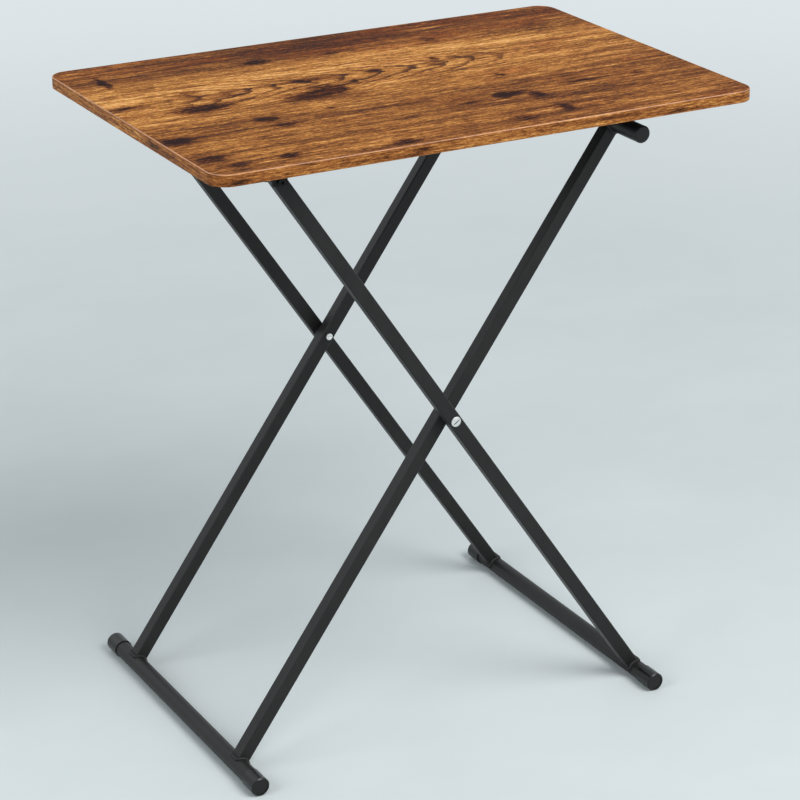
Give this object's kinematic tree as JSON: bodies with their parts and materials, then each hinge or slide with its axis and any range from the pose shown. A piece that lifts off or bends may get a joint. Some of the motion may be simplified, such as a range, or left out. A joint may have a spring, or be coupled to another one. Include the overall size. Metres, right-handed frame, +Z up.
{
  "type": "folding table",
  "caption": "Small rectangular folding table: a wood-grain top hinged to one steel leg frame and clipped over the crossbar of another that crosses it.",
  "frame": {"origin": "on the floor, under the middle of the top", "axes": "+X along the top's long side from the hinge end to the clip end, +Y across the top, +Z up"},
  "size_m": [0.6, 0.4, 0.66],
  "materials": {
    "wood_laminate": "satin rustic wood grain laminate with knots",
    "edge_banding": "satin wood grain edge band",
    "board_core": "raw particle board",
    "backing_sheet": "matte backing paper",
    "powder_coat": "fine matte black powder coat",
    "black_oxide": "satin black",
    "cap_plastic": "satin moulded black",
    "clip_plastic": "satin moulded black",
    "bright_zinc": "bright zinc plate",
    "nylon": "black nylon"
  },
  "bodies": {
    "outer_frame": {"outer_leg_near": "powder_coat", "outer_leg_far": "powder_coat", "outer_foot_tube": "powder_coat", "outer_foot_cap_near": "cap_plastic", "outer_foot_cap_far": "cap_plastic", "outer_leg_plug_near": "cap_plastic", "outer_leg_plug_far": "cap_plastic", "pivot_rivet_near": "bright_zinc", "pivot_rivet_far": "bright_zinc", "pivot_spacer_near": "nylon", "pivot_spacer_far": "nylon", "hinge_pin_near": "black_oxide", "hinge_pin_far": "black_oxide"},
    "inner_frame": {"inner_leg_near": "powder_coat", "inner_leg_far": "powder_coat", "inner_foot_tube": "powder_coat", "inner_foot_cap_near": "cap_plastic", "inner_foot_cap_far": "cap_plastic", "crossbar_tube": "powder_coat", "crossbar_plug_near": "cap_plastic", "crossbar_plug_far": "cap_plastic"},
    "tabletop": {"tabletop_core": "board_core", "top_laminate": "wood_laminate", "underside_laminate": "backing_sheet", "edge_band": "edge_banding", "hinge_bracket_near": "black_oxide", "hinge_bracket_far": "black_oxide", "crossbar_clip_near": "clip_plastic", "crossbar_clip_far": "clip_plastic", "bracket_screws": "bright_zinc", "clip_screws": "bright_zinc"}
  },
  "joints": [
    {"name": "top_lift", "type": "hinge", "parent": "outer_frame", "child": "tabletop", "pos_m": [-0.21231, 0, 0.63], "axis": [0, -1, 0], "range_deg": [0, 124]},
    {"name": "leg_fold", "type": "hinge", "parent": "outer_frame", "child": "inner_frame", "pos_m": [-0.02, 0, 0.348], "axis": [0, -1, 0], "range_deg": [0, 66]}
  ],
  "couplings": [
    {"joint": "leg_fold", "follows": "top_lift", "ratio": 0.532}
  ]
}
